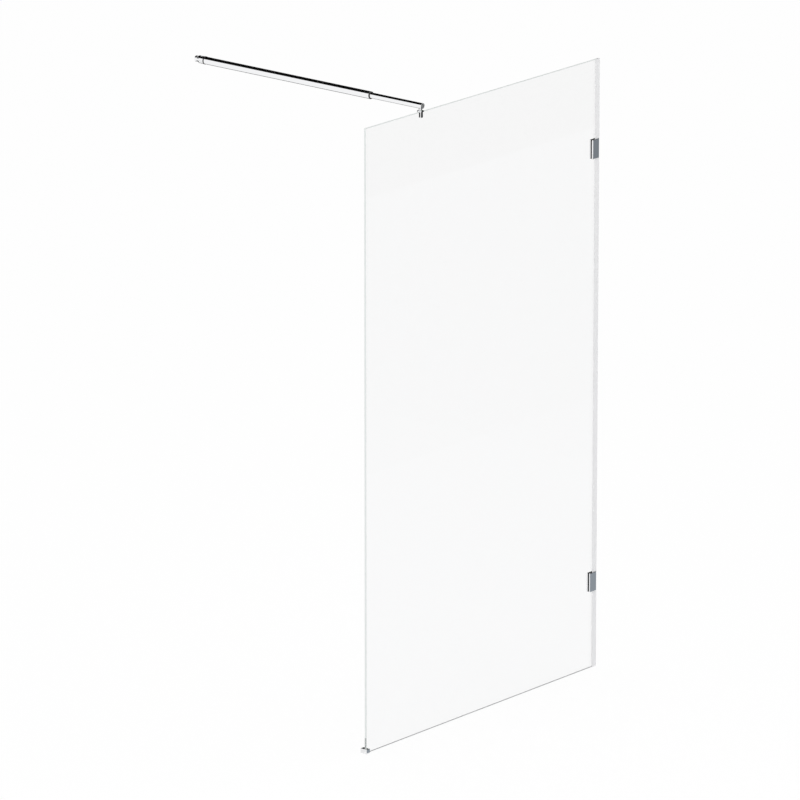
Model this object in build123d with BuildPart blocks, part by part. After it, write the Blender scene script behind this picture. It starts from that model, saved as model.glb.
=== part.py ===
from build123d import *
import os

# Walk-in shower screen: a fixed glass panel with wall brackets, a floor foot and a telescopic support arm.
# Millimetres. X runs along the glass from its free edge to the wall it is fixed to, Y runs across the glass
# towards the wall that the support arm reaches, and Z is up. The origin is on the floor, at the free edge,
# in the middle of the glass thickness.

# Glass panel
panel_width = 1176.0
panel_height = 2097.0
glass_thickness = 8.0
glass_arris = 0.6

# Gap between the glass and the wall, and the seal that covers it
wall_gap = 12.0
seal_front_grip = 10.0
seal_rear_grip = 4.5
seal_wall = 1.2
seal_fit = 0.1
seal_end_gap = 0.5

# Wall brackets
upper_bracket_drop = 302.0
lower_bracket_rise = 300.0
bracket_height = 65.0
plate_width = 31.5
plate_thickness = 4.5
plate_wall_gap = 7.0
plate_bevel = 0.8
gasket_thickness = 1.0
web_thickness = 6.0
notch_depth = 18.0
notch_height = 38.0
notch_radius = 5.0
spacer_fit = 0.4
clamp_spacing = 24.0
clamp_wall_distance = 21.0
boss_radius = 4.5
boss_reach = 6.0
boss_fit = 0.15
clamp_screw_radius = 2.5
clamp_screw_head_radius = 4.6
clamp_screw_socket_radius = 1.6
clamp_screw_end_gap = 0.5
clamp_thread_floor = 1.5
wall_screw_radius = 2.25
wall_screw_head_radius = 4.4
wall_screw_spacing = 48.0

# Foot under the free corner
floor_pad_thickness = 0.5
floor_pad_inset = 0.6
foot_base = 1.5
foot_liner = 1.0
foot_length = 16.0
foot_height = 14.5
foot_end_wall = 2.0
foot_lip = 2.5
foot_back = 14.5
foot_corner_radius = 1.0
foot_screw_radius = 3.0
foot_screw_length = 13.0

# Short guard strip on the free edge above the foot
guard_height = 38.0
guard_thickness = 1.2
guard_bevel = 0.4

# Clamp on the top edge of the glass that carries the arm
arm_distance = 275.5
fork_radius = 7.9
fork_drop = 18.0
fork_bridge = 6.0
fork_flange_radius = 11.0
fork_flange_lift = 1.5
fork_flange_thickness = 2.4
fork_liner = 0.6
fork_liner_inset = 0.5
fork_screw_radius = 2.5
fork_screw_height = 7.0
pivot_washer_thickness = 0.55
pivot_washer_inner_radius = 2.4
stem_radius = 5.25
stem_rise = 4.4
stem_spigot_radius = 4.0
stem_spigot_reach = 4.0
pivot_screw_radius = 2.0
pivot_screw_head_radius = 3.75
pivot_screw_length = 12.0
pivot_screw_socket_radius = 1.2

# Telescopic arm
inner_tube_radius = 9.5
outer_tube_radius = 12.5
tube_wall = 1.5
inner_tube_overhang = 9.5
end_plug_length = 21.0
end_plug_recess = 0.3
outer_tube_start = 206.5
outer_tube_end = 914.0
arm_reach_out = 240.0
stop_gap = 0.5
collar_flange = 2.0
collar_sleeve = 36.0
lock_screw_radius = 2.5
lock_screw_distance = 18.0
guide_bush_length = 28.0
guide_bush_lip = 2.0
guide_bush_lip_depth = 3.0

# Knuckle and flange at the far end of the arm
knuckle_spigot = 30.0
knuckle_ring_radius = 13.5
knuckle_ring_thickness = 4.0
knuckle_ring_bevel = 0.3
knuckle_pin_distance = 12.0
knuckle_slot_floor = 9.0
tongue_thickness = 7.0
tongue_radius = 8.0
tongue_clearance = 0.1
flange_gap = 4.5
flange_radius = 10.0
flange_thickness = 9.0
flange_bevel = 0.8
flange_thread_radius = 2.5
flange_thread_depth = 7.0
pin_radius = 3.0
pin_head_radius = 5.0
pin_head_thickness = 3.0
pin_head_seat = 8.0
pin_end_recess = 1.2

# Fits and screw details shared by all parts
running_fit = 0.05
sink_angle = 90.0
socket_share = 0.5
socket_depth = 1.8
screw_bevel = 0.4

# Places worked out from the sizes above
glass_half = glass_thickness / 2
glass_bottom = floor_pad_thickness + foot_base + foot_liner
glass_top = glass_bottom + panel_height
wall_x = panel_width + wall_gap
upper_bracket_height = glass_top - upper_bracket_drop
lower_bracket_height = glass_bottom + lower_bracket_rise
seal_inner = glass_half + seal_fit
seal_outer = seal_inner + seal_wall
plate_right = wall_x - plate_wall_gap
plate_centre = plate_right - plate_width / 2
gasket_outer = glass_half + gasket_thickness
plate_outer = gasket_outer + plate_thickness
clamp_x = wall_x - clamp_wall_distance
clamp_hole_radius = clamp_screw_radius + running_fit
clamp_sink_radius = clamp_screw_head_radius + running_fit
web_start = wall_x - web_thickness
notch_left = panel_width - notch_depth
slot_half = glass_half + foot_liner
foot_left = -foot_liner - foot_end_wall
foot_right = foot_left + foot_length
foot_front = -slot_half - foot_lip
foot_rear = slot_half + foot_back
foot_bottom = floor_pad_thickness
foot_top = foot_bottom + foot_height
foot_screw_height = (foot_bottom + foot_base + foot_top) / 2
foot_centre_x = (foot_left + foot_right) / 2
foot_centre_y = (foot_front + foot_rear) / 2
fork_slot_half = glass_half + fork_liner
fork_top = glass_top + fork_bridge
fork_bottom = glass_top - fork_drop
pivot_hole_radius = pivot_screw_radius + running_fit
pivot_sink_radius = pivot_screw_head_radius + 2 * running_fit
stem_bottom = fork_top + pivot_washer_thickness + running_fit
arm_height = stem_bottom + stem_rise + inner_tube_radius
inner_bore = inner_tube_radius - tube_wall
outer_bore = outer_tube_radius - tube_wall
collar_sleeve_end = outer_tube_start + collar_flange + collar_sleeve
guide_bush_start = collar_sleeve_end + arm_reach_out + stop_gap
inner_tube_end = guide_bush_start + guide_bush_length
lock_screw_y = outer_tube_start + collar_flange + lock_screw_distance
knuckle_ring_end = outer_tube_end + knuckle_ring_thickness
pin_y = knuckle_ring_end + knuckle_pin_distance
knuckle_end = pin_y + outer_tube_radius
flange_front = knuckle_end + flange_gap
flange_back = flange_front + flange_thickness
slot_height = tongue_thickness + 2 * tongue_clearance

brackets = [("upper", upper_bracket_height), ("lower", lower_bracket_height)]

os.makedirs("parts", exist_ok=True)


def across(y, x=0.0, z=0.0):
    """Plane square to Y that looks towards +Y, with its local Y up and its origin at (x, y, z)."""
    return Plane(origin=(x, y, z), x_dir=(-1, 0, 0), z_dir=(0, 1, 0))


def facing_wall(x, y=0.0, z=0.0):
    """Plane square to X that looks towards +X, with its local Y up and its origin at (x, y, z)."""
    return Plane(origin=(x, y, z), x_dir=(0, 1, 0), z_dir=(1, 0, 0))


def facing_panel(x, y=0.0, z=0.0):
    """Plane square to X that looks towards -X, with its local Y up and its origin at (x, y, z)."""
    return Plane(origin=(x, y, z), x_dir=(0, -1, 0), z_dir=(-1, 0, 0))


def save(part, name):
    """Label a finished piece and write it as its own STEP file."""
    part.label = name
    export_step(part, f"parts/{name}.step")


# Glass panel, with one notch in its wall edge for each bracket
with BuildPart() as glass_panel:
    with BuildSketch(Plane.XY.offset(glass_bottom)):
        with Locations((panel_width / 2, 0)):
            Rectangle(panel_width, glass_thickness)
    extrude(amount=panel_height)
    chamfer(glass_panel.edges().filter_by(Axis.Z), length=glass_arris)
    chamfer(glass_panel.faces().sort_by(Axis.Z)[-1].edges().filter_by(Axis.X), length=glass_arris)
    for bracket, height in brackets:
        with BuildSketch(across(-glass_half, panel_width, height)):
            RectangleRounded(2 * notch_depth, notch_height, notch_radius)
        extrude(amount=glass_thickness, mode=Mode.SUBTRACT)
save(glass_panel.part, "glass_panel")

# Wall seal: a channel over the glass edge, shorter behind, and a hollow chamber to the wall, in three lengths
half_bracket = bracket_height / 2 + seal_end_gap
seal_lengths = [
    ("lower", glass_bottom, lower_bracket_height - half_bracket),
    ("middle", lower_bracket_height + half_bracket, upper_bracket_height - half_bracket),
    ("upper", upper_bracket_height + half_bracket, glass_top),
]
seal_left = panel_width - seal_front_grip
seal_rear_left = panel_width - seal_rear_grip
chamber_left = panel_width + seal_fit + seal_wall
chamber_right = wall_x - seal_wall
for place, seal_bottom, seal_top in seal_lengths:
    with BuildPart() as wall_seal:
        with BuildSketch(Plane.XY.offset(seal_bottom)):
            with Locations(((seal_left + wall_x) / 2, 0)):
                Rectangle(wall_x - seal_left, 2 * seal_outer)
            with Locations(((seal_left + panel_width + seal_fit) / 2, 0)):
                Rectangle(panel_width + seal_fit - seal_left, 2 * seal_inner, mode=Mode.SUBTRACT)
            with Locations(((seal_left + seal_rear_left) / 2, seal_outer / 2)):
                Rectangle(seal_rear_left - seal_left, seal_outer, mode=Mode.SUBTRACT)
            with Locations(((chamber_left + chamber_right) / 2, 0)):
                Rectangle(chamber_right - chamber_left, 2 * seal_inner, mode=Mode.SUBTRACT)
        extrude(amount=seal_top - seal_bottom)
    save(wall_seal.part, f"wall_seal_{place}")

# Guard strip on the flat of the free edge, standing on the foot
with BuildPart() as edge_guard:
    with BuildSketch(Plane.XY.offset(foot_top)):
        with Locations((-guard_thickness / 2, 0)):
            Rectangle(guard_thickness, glass_thickness - 2 * glass_arris)
    extrude(amount=guard_height)
    chamfer(edge_guard.edges().filter_by(Axis.Z).group_by(Axis.X)[0], length=guard_bevel)
save(edge_guard.part, "edge_guard")

# The two wall brackets are the same set of pieces at two heights
for bracket, height in brackets:

    # Body: a plate behind the glass and a web against the wall, in one casting
    with BuildPart() as bracket_body:
        with BuildSketch(across(gasket_outer, (plate_right - plate_width + wall_x) / 2, height)):
            Rectangle(wall_x - plate_right + plate_width, bracket_height)
        extrude(amount=plate_thickness)
        with BuildSketch(facing_wall(web_start, (plate_outer - glass_half) / 2, height)):
            Rectangle(plate_outer + glass_half, bracket_height)
        extrude(amount=web_thickness)
        chamfer(bracket_body.faces().sort_by(Axis.Y)[-1].edges(), length=plate_bevel)
        with Locations(facing_panel(web_start, (gasket_outer - glass_half) / 2, height)):
            with GridLocations(0, wall_screw_spacing, 1, 2):
                CounterSinkHole(wall_screw_radius, wall_screw_head_radius, web_thickness, sink_angle)
        with Locations(across(plate_outer, clamp_x, height)):
            with GridLocations(0, clamp_spacing, 1, 2):
                CounterSinkHole(clamp_hole_radius, clamp_sink_radius, plate_thickness, sink_angle)
    save(bracket_body.part, f"{bracket}_bracket_body")

    # Front plate, with two tapped bosses that reach into the notch
    with BuildPart() as front_plate:
        with BuildSketch(across(-plate_outer, plate_centre, height)):
            Rectangle(plate_width, bracket_height)
        extrude(amount=plate_thickness)
        chamfer(front_plate.faces().sort_by(Axis.Y)[0].edges(), length=plate_bevel)
        with BuildSketch(across(-gasket_outer, clamp_x, height)):
            with GridLocations(0, clamp_spacing, 1, 2):
                Circle(boss_radius)
        extrude(amount=boss_reach)
        with BuildSketch(across(clamp_thread_floor - plate_outer, clamp_x, height)):
            with GridLocations(0, clamp_spacing, 1, 2):
                Circle(clamp_hole_radius)
        extrude(amount=plate_thickness + boss_reach - clamp_thread_floor, mode=Mode.SUBTRACT)
    save(front_plate.part, f"{bracket}_bracket_front_plate")

    # Rubber gaskets on both faces of the glass
    with BuildPart() as front_gasket:
        with BuildSketch(across(-gasket_outer, plate_centre, height)):
            Rectangle(plate_width, bracket_height)
            with Locations((plate_centre - clamp_x, 0)):
                with GridLocations(0, clamp_spacing, 1, 2):
                    Circle(boss_radius + boss_fit, mode=Mode.SUBTRACT)
        extrude(amount=gasket_thickness)
    save(front_gasket.part, f"{bracket}_bracket_front_gasket")

    with BuildPart() as rear_gasket:
        with BuildSketch(across(glass_half, plate_centre, height)):
            Rectangle(plate_width, bracket_height)
            with Locations((plate_centre - clamp_x, 0)):
                with GridLocations(0, clamp_spacing, 1, 2):
                    Circle(clamp_screw_radius + boss_fit, mode=Mode.SUBTRACT)
        extrude(amount=gasket_thickness)
    save(rear_gasket.part, f"{bracket}_bracket_rear_gasket")

    # Nylon spacer that fills the notch and keeps the screws off the glass
    spacer_left = notch_left + spacer_fit
    spacer_width = plate_right - spacer_left
    with BuildPart() as spacer:
        with BuildSketch(across(-glass_half, spacer_left + spacer_width / 2, height)):
            Rectangle(spacer_width, notch_height - 2 * spacer_fit)
        extrude(amount=glass_thickness)
        fillet(spacer.edges().filter_by(Axis.Y).group_by(Axis.X)[0], radius=notch_radius)
        with BuildSketch(across(-glass_half, clamp_x, height)):
            with GridLocations(0, clamp_spacing, 1, 2):
                Circle(boss_radius + boss_fit)
        extrude(amount=boss_reach - gasket_thickness + boss_fit, mode=Mode.SUBTRACT)
        with BuildSketch(across(-glass_half, clamp_x, height)):
            with GridLocations(0, clamp_spacing, 1, 2):
                Circle(clamp_screw_radius + boss_fit)
        extrude(amount=glass_thickness, mode=Mode.SUBTRACT)
    save(spacer.part, f"{bracket}_bracket_spacer")

    # Countersunk clamp screws, driven from behind
    screw_tip = clamp_thread_floor + clamp_screw_end_gap - plate_outer
    head_depth = clamp_screw_head_radius - clamp_screw_radius
    with BuildPart() as clamp_screws:
        with BuildSketch(across(screw_tip, clamp_x, height)):
            with GridLocations(0, clamp_spacing, 1, 2):
                Circle(clamp_screw_radius)
        extrude(amount=plate_outer - screw_tip)
        with BuildSketch(across(plate_outer, clamp_x, height)):
            with GridLocations(0, clamp_spacing, 1, 2):
                Circle(clamp_screw_head_radius)
        extrude(amount=-head_depth, taper=sink_angle / 2)
        with BuildSketch(across(plate_outer, clamp_x, height)):
            with GridLocations(0, clamp_spacing, 1, 2):
                RegularPolygon(clamp_screw_socket_radius, 6)
        extrude(amount=-socket_depth, mode=Mode.SUBTRACT)
    save(clamp_screws.part, f"{bracket}_bracket_clamp_screws")

# Foot: a metal block with a slot for the glass corner, a thin lip in front and a thick block behind
with BuildPart() as foot_block:
    with BuildSketch(Plane.XY.offset(foot_bottom)):
        with Locations((foot_centre_x, foot_centre_y)):
            Rectangle(foot_length, foot_rear - foot_front)
    extrude(amount=foot_height)
    fillet(foot_block.edges().filter_by(Axis.Z), radius=foot_corner_radius)
    chamfer(foot_block.faces().sort_by(Axis.Z)[-1].edges(), length=foot_corner_radius / 2)
    with BuildSketch(Plane.XY.offset(foot_bottom + foot_base)):
        with Locations(((foot_right - foot_liner) / 2, 0)):
            Rectangle(foot_right + foot_liner, 2 * slot_half)
    extrude(amount=foot_height, mode=Mode.SUBTRACT)
    with BuildSketch(across(slot_half, foot_centre_x, foot_screw_height)):
        Circle(foot_screw_radius + running_fit)
    extrude(amount=foot_back, mode=Mode.SUBTRACT)
save(foot_block.part, "foot_block")

# Liner between the foot and the glass, under it and at its end
with BuildPart() as foot_liner_part:
    with BuildSketch(Plane.XY.offset(foot_bottom + foot_base)):
        with Locations(((foot_right - foot_liner) / 2, 0)):
            Rectangle(foot_right + foot_liner, 2 * slot_half)
    extrude(amount=foot_height - foot_base)
    with BuildSketch(Plane.XY.offset(glass_bottom)):
        with Locations((foot_right / 2, 0)):
            Rectangle(foot_right, glass_thickness)
    extrude(amount=foot_height, mode=Mode.SUBTRACT)
save(foot_liner_part.part, "foot_liner")

# Adhesive pad that the foot stands on
floor_pad_length = foot_length - 2 * floor_pad_inset
floor_pad_width = foot_rear - foot_front - 2 * floor_pad_inset
with BuildPart() as floor_pad:
    with BuildSketch(Plane.XY):
        with Locations((foot_centre_x, foot_centre_y)):
            RectangleRounded(floor_pad_length, floor_pad_width, foot_corner_radius)
    extrude(amount=floor_pad_thickness)
save(floor_pad.part, "foot_floor_pad")

# Grub screw that holds the glass in the foot, driven from behind
with BuildPart() as foot_screw:
    with BuildSketch(across(slot_half, foot_centre_x, foot_screw_height)):
        Circle(foot_screw_radius)
    extrude(amount=foot_screw_length)
    chamfer(foot_screw.edges(), length=screw_bevel)
    with BuildSketch(across(slot_half + foot_screw_length, foot_centre_x, foot_screw_height)):
        RegularPolygon(foot_screw_radius * socket_share, 6)
    extrude(amount=-socket_depth, mode=Mode.SUBTRACT)
save(foot_screw.part, "foot_grub_screw")

# Clamp on the glass top edge: a forked stud with a flange and a conical top
clamp_centre = Plane(origin=(arm_distance, 0, 0), x_dir=(1, 0, 0), z_dir=(0, -1, 0))
pivot_axis = Axis((arm_distance, 0, 0), (0, 0, 1))
flange_low = glass_top + fork_flange_lift
flange_high = flange_low + fork_flange_thickness
with BuildPart() as glass_clamp:
    with BuildSketch(clamp_centre):
        with BuildLine():
            Polyline(
                (0, fork_bottom),
                (fork_radius, fork_bottom),
                (fork_radius, flange_low),
                (fork_flange_radius, flange_low),
                (fork_flange_radius, flange_high),
                (stem_radius, fork_top),
                (0, fork_top),
                close=True,
            )
        make_face()
    revolve(axis=pivot_axis)
    chamfer(glass_clamp.edges().filter_by(GeomType.CIRCLE).sort_by(Axis.Z)[0], length=screw_bevel)
    with BuildSketch(Plane.XY.offset(fork_bottom)):
        with Locations((arm_distance, 0)):
            Rectangle(2 * fork_flange_radius, 2 * fork_slot_half)
    extrude(amount=fork_drop + fork_liner, mode=Mode.SUBTRACT)
    with BuildSketch(across(0, arm_distance, fork_bottom + fork_screw_height)):
        Circle(fork_screw_radius + running_fit)
    extrude(amount=fork_radius, mode=Mode.SUBTRACT)
    with Locations(Plane(origin=(arm_distance, 0, glass_top + fork_liner), z_dir=(0, 0, -1))):
        CounterSinkHole(pivot_hole_radius, pivot_sink_radius, fork_bridge, sink_angle)
save(glass_clamp.part, "glass_clamp")

# Liner between the clamp and the glass, over its top edge and down both faces
liner_half_width = (fork_radius**2 - fork_slot_half**2) ** 0.5 - fork_liner_inset
with BuildPart() as clamp_liner:
    with BuildSketch(Plane.XY.offset(fork_bottom + fork_liner_inset)):
        with Locations((arm_distance, 0)):
            Rectangle(2 * liner_half_width, 2 * fork_slot_half)
    extrude(amount=fork_drop + fork_liner - fork_liner_inset)
    with BuildSketch(Plane.XY.offset(fork_bottom)):
        with Locations((arm_distance, 0)):
            Rectangle(2 * fork_radius, glass_thickness)
    extrude(amount=fork_drop, mode=Mode.SUBTRACT)
save(clamp_liner.part, "glass_clamp_liner")

# Grub screw that tightens the clamp, driven from behind
clamp_grub_height = fork_bottom + fork_screw_height
clamp_grub_length = fork_radius - fork_slot_half - screw_bevel
with BuildPart() as clamp_grub:
    with BuildSketch(across(fork_slot_half, arm_distance, clamp_grub_height)):
        Circle(fork_screw_radius)
    extrude(amount=clamp_grub_length)
    with BuildSketch(across(fork_slot_half + clamp_grub_length, arm_distance, clamp_grub_height)):
        RegularPolygon(fork_screw_radius * socket_share, 6)
    extrude(amount=-socket_depth, mode=Mode.SUBTRACT)
save(clamp_grub.part, "glass_clamp_grub_screw")

# Nylon washer that the stem turns on
with BuildPart() as pivot_washer:
    with BuildSketch(Plane.XY.offset(fork_top)):
        with Locations((arm_distance, 0)):
            Circle(stem_radius)
            Circle(pivot_washer_inner_radius, mode=Mode.SUBTRACT)
    extrude(amount=pivot_washer_thickness)
save(pivot_washer.part, "pivot_washer")

# Stem: its top is cut to the tube, and its spigot goes up through the tube wall into the end plug
pivot_screw_bottom = glass_top + fork_liner + running_fit
pivot_screw_top = pivot_screw_bottom + pivot_screw_length
with BuildPart() as swivel_stem:
    with BuildSketch(Plane.XY.offset(stem_bottom)):
        with Locations((arm_distance, 0)):
            Circle(stem_radius)
    extrude(amount=arm_height - stem_bottom)
    chamfer(swivel_stem.faces().sort_by(Axis.Z)[0].edges(), length=screw_bevel)
    with BuildSketch(across(-inner_tube_radius, arm_distance, arm_height)):
        Circle(inner_tube_radius + running_fit)
    extrude(amount=2 * inner_tube_radius, mode=Mode.SUBTRACT)
    with BuildSketch(Plane.XY.offset(stem_bottom + stem_rise / 2)):
        with Locations((arm_distance, 0)):
            Circle(stem_spigot_radius)
    extrude(amount=arm_height + stem_spigot_reach - stem_bottom - stem_rise / 2)
    with BuildSketch(Plane.XY.offset(stem_bottom)):
        with Locations((arm_distance, 0)):
            Circle(pivot_hole_radius)
    extrude(amount=pivot_screw_top + stop_gap - stem_bottom, mode=Mode.SUBTRACT)
save(swivel_stem.part, "swivel_stem")

# Countersunk screw that the stem turns about
with BuildPart() as pivot_screw:
    with BuildSketch(Plane.XY.offset(pivot_screw_bottom)):
        with Locations((arm_distance, 0)):
            Circle(pivot_screw_radius)
    extrude(amount=pivot_screw_length)
    with BuildSketch(Plane.XY.offset(pivot_screw_bottom)):
        with Locations((arm_distance, 0)):
            Circle(pivot_screw_head_radius)
    extrude(amount=pivot_screw_head_radius - pivot_screw_radius, taper=sink_angle / 2)
    with BuildSketch(Plane.XY.offset(pivot_screw_bottom)):
        with Locations((arm_distance, 0)):
            RegularPolygon(pivot_screw_socket_radius, 6)
    extrude(amount=socket_depth, mode=Mode.SUBTRACT)
save(pivot_screw.part, "pivot_screw")

# Inner tube, with a hole in its underside for the stem spigot
with BuildPart() as inner_tube:
    with BuildSketch(across(-inner_tube_overhang, arm_distance, arm_height)):
        Circle(inner_tube_radius)
        Circle(inner_bore, mode=Mode.SUBTRACT)
    extrude(amount=inner_tube_end + inner_tube_overhang)
    with BuildSketch(Plane.XY.offset(arm_height - inner_tube_radius)):
        with Locations((arm_distance, 0)):
            Circle(stem_spigot_radius + running_fit)
    extrude(amount=inner_tube_radius, mode=Mode.SUBTRACT)
save(inner_tube.part, "inner_tube")

# Plug that closes the tube end and holds the spigot
plug_start = end_plug_recess - inner_tube_overhang
with BuildPart() as end_plug:
    with BuildSketch(across(plug_start, arm_distance, arm_height)):
        Circle(inner_bore - running_fit)
    extrude(amount=end_plug_length)
    chamfer(end_plug.faces().sort_by(Axis.Y)[0].edges(), length=screw_bevel)
    with BuildSketch(Plane.XY.offset(arm_height - inner_bore)):
        with Locations((arm_distance, 0)):
            Circle(stem_spigot_radius + running_fit)
    extrude(amount=inner_bore + stem_spigot_reach + running_fit, mode=Mode.SUBTRACT)
save(end_plug.part, "end_plug")

# Nylon bush on the inner end of the inner tube, which slides in the outer tube
with BuildPart() as guide_bush:
    with BuildSketch(across(guide_bush_start, arm_distance, arm_height)):
        Circle(outer_bore - running_fit)
    extrude(amount=guide_bush_length + guide_bush_lip)
    with BuildSketch(across(guide_bush_start, arm_distance, arm_height)):
        Circle(inner_tube_radius + running_fit)
    extrude(amount=guide_bush_length, mode=Mode.SUBTRACT)
    with BuildSketch(across(guide_bush_start, arm_distance, arm_height)):
        Circle(inner_bore - guide_bush_lip_depth)
    extrude(amount=guide_bush_length + guide_bush_lip, mode=Mode.SUBTRACT)
save(guide_bush.part, "guide_bush")

# Outer tube, with a hole underneath for the lock screw
with BuildPart() as outer_tube:
    with BuildSketch(across(outer_tube_start + collar_flange, arm_distance, arm_height)):
        Circle(outer_tube_radius)
        Circle(outer_bore, mode=Mode.SUBTRACT)
    extrude(amount=outer_tube_end - outer_tube_start - collar_flange)
    with BuildSketch(Plane(origin=(arm_distance, lock_screw_y, arm_height), z_dir=(0, 0, -1))):
        Circle(lock_screw_radius + running_fit)
    extrude(amount=outer_tube_radius, mode=Mode.SUBTRACT)
save(outer_tube.part, "outer_tube")

# Collar in the mouth of the outer tube: it guides the inner tube and takes the lock screw
with BuildPart() as collar:
    with BuildSketch(across(outer_tube_start, arm_distance, arm_height)):
        Circle(outer_tube_radius)
    extrude(amount=collar_flange)
    chamfer(collar.faces().sort_by(Axis.Y)[0].edges(), length=screw_bevel)
    with BuildSketch(across(outer_tube_start + collar_flange, arm_distance, arm_height)):
        Circle(outer_bore - running_fit)
    extrude(amount=collar_sleeve)
    with BuildSketch(across(outer_tube_start, arm_distance, arm_height)):
        Circle(inner_tube_radius + running_fit)
    extrude(amount=collar_flange + collar_sleeve, mode=Mode.SUBTRACT)
    with BuildSketch(Plane(origin=(arm_distance, lock_screw_y, arm_height), z_dir=(0, 0, -1))):
        Circle(lock_screw_radius + running_fit)
    extrude(amount=outer_tube_radius, mode=Mode.SUBTRACT)
save(collar.part, "telescope_collar")

# Lock screw that holds the arm at its length
lock_tip = arm_height - inner_tube_radius - running_fit
lock_length = outer_tube_radius - inner_tube_radius - running_fit - screw_bevel
with BuildPart() as lock_screw:
    with BuildSketch(Plane(origin=(arm_distance, lock_screw_y, lock_tip), z_dir=(0, 0, -1))):
        Circle(lock_screw_radius)
    extrude(amount=lock_length)
    with BuildSketch(Plane(origin=(arm_distance, lock_screw_y, lock_tip - lock_length), z_dir=(0, 0, 1))):
        RegularPolygon(lock_screw_radius * socket_share, 6)
    extrude(amount=socket_depth, mode=Mode.SUBTRACT)
save(lock_screw.part, "lock_screw")

# Black ring between the outer tube and the knuckle, threaded on the fork's spigot
with BuildPart() as knuckle_ring:
    with BuildSketch(across(outer_tube_end, arm_distance, arm_height)):
        Circle(knuckle_ring_radius)
    extrude(amount=knuckle_ring_thickness)
    chamfer(knuckle_ring.edges().filter_by(GeomType.CIRCLE), length=knuckle_ring_bevel)
    with BuildSketch(across(outer_tube_end, arm_distance, arm_height)):
        Circle(outer_bore)
    extrude(amount=knuckle_ring_thickness, mode=Mode.SUBTRACT)
save(knuckle_ring.part, "knuckle_ring")

# Knuckle fork: two rounded ears, and a spigot that goes through the ring into the outer tube
with BuildPart() as knuckle_fork:
    with BuildSketch(across(knuckle_ring_end, arm_distance, arm_height)):
        Circle(outer_tube_radius)
    extrude(amount=knuckle_end - knuckle_ring_end)
    with BuildSketch(Plane.XY.offset(arm_height - outer_tube_radius)):
        with Locations((arm_distance, (knuckle_ring_end + pin_y) / 2)):
            Rectangle(2 * outer_tube_radius, pin_y - knuckle_ring_end)
        with Locations((arm_distance, pin_y)):
            Circle(outer_tube_radius)
    extrude(amount=2 * outer_tube_radius, mode=Mode.INTERSECT)
    slot_start = pin_y - knuckle_slot_floor
    with BuildSketch(Plane.XY.offset(arm_height - slot_height / 2)):
        with Locations((arm_distance, (slot_start + knuckle_end) / 2)):
            Rectangle(2 * outer_tube_radius, knuckle_end - slot_start)
    extrude(amount=slot_height, mode=Mode.SUBTRACT)
    with BuildSketch(Plane.XY.offset(arm_height - outer_tube_radius)):
        with Locations((arm_distance, pin_y)):
            Circle(pin_radius + running_fit)
    extrude(amount=2 * outer_tube_radius, mode=Mode.SUBTRACT)
    with BuildSketch(Plane.XY.offset(arm_height + pin_head_seat)):
        with Locations((arm_distance, pin_y)):
            Circle(pin_head_radius + running_fit)
    extrude(amount=outer_tube_radius - pin_head_seat, mode=Mode.SUBTRACT)
    with BuildSketch(across(knuckle_ring_end, arm_distance, arm_height)):
        Circle(outer_bore - running_fit)
    extrude(amount=-knuckle_ring_thickness - knuckle_spigot)
save(knuckle_fork.part, "knuckle_fork")

# Hinge pin with a sunk head
with BuildPart() as knuckle_pin:
    with BuildSketch(Plane.XY.offset(arm_height - outer_tube_radius + pin_end_recess)):
        with Locations((arm_distance, pin_y)):
            Circle(pin_radius)
    extrude(amount=outer_tube_radius - pin_end_recess + pin_head_seat)
    with BuildSketch(Plane.XY.offset(arm_height + pin_head_seat)):
        with Locations((arm_distance, pin_y)):
            Circle(pin_head_radius)
    extrude(amount=pin_head_thickness)
    chamfer(knuckle_pin.faces().sort_by(Axis.Z)[-1].edges(), length=screw_bevel)
    with BuildSketch(Plane.XY.offset(arm_height + pin_head_seat + pin_head_thickness)):
        with Locations((arm_distance, pin_y)):
            RegularPolygon(pin_head_radius * socket_share, 6)
    extrude(amount=-socket_depth, mode=Mode.SUBTRACT)
save(knuckle_pin.part, "knuckle_pin")

# Wall flange with the tongue that turns between the ears
with BuildPart() as wall_flange:
    with BuildSketch(across(flange_front, arm_distance, arm_height)):
        Circle(flange_radius)
    extrude(amount=flange_thickness)
    chamfer(wall_flange.faces().sort_by(Axis.Y)[0].edges(), length=flange_bevel)
    with BuildSketch(Plane.XY.offset(arm_height - tongue_thickness / 2)):
        with Locations((arm_distance, (pin_y + flange_front + flange_bevel) / 2)):
            Rectangle(2 * tongue_radius, flange_front + flange_bevel - pin_y)
        with Locations((arm_distance, pin_y)):
            Circle(tongue_radius)
            Circle(pin_radius + running_fit, mode=Mode.SUBTRACT)
    extrude(amount=tongue_thickness)
    with BuildSketch(across(flange_back, arm_distance, arm_height)):
        Circle(flange_thread_radius)
    extrude(amount=-flange_thread_depth, mode=Mode.SUBTRACT)
save(wall_flange.part, "wall_flange")

print(f"wall at x {wall_x:.1f}, glass from z {glass_bottom:.1f} to {glass_top:.1f}")
print(f"arm height {arm_height:.2f}, tube overlap {inner_tube_end - outer_tube_start:.1f}")
print(f"knuckle pin at y {pin_y:.1f}, wall flange from y {flange_front:.1f} to {flange_back:.1f}")
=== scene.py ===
"""Looks of the walk-in shower screen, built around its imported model, in metres in the part's own frame."""
import logging
import math
from dataclasses import dataclass
from enum import Enum

import bmesh
import bpy
from mathutils import Matrix, Vector


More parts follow.
